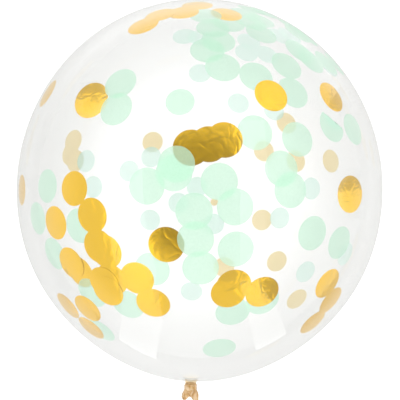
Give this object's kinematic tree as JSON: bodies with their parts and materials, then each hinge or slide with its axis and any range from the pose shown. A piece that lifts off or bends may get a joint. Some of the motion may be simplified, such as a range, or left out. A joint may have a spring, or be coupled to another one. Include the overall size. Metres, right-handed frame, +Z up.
{
  "type": "giant confetti balloon",
  "caption": "Large round clear latex balloon, blown up and knotted, with a flared tail, filled with gold foil and mint tissue confetti discs.",
  "frame": {"origin": "middle of the small flat spot that the balloon rests on, under its widest circle", "axes": "+Z up, +Y towards the crown, -Y towards the knot and tail, along the balloon's axis"},
  "size_m": [0.5998, 0.6757, 0.5972],
  "materials": {
    "clear_latex": "clear natural latex stretched thin, glossy, amber where it is unstretched at the knot and tail",
    "gold_foil": "metallised gold foil discs, mirror-bright with soft creases",
    "mint_tissue": "thin mint green tissue paper discs, matte and slightly translucent"
  },
  "bodies": {
    "root": {"latex_balloon": "clear_latex"}
  },
  "joints": []
}
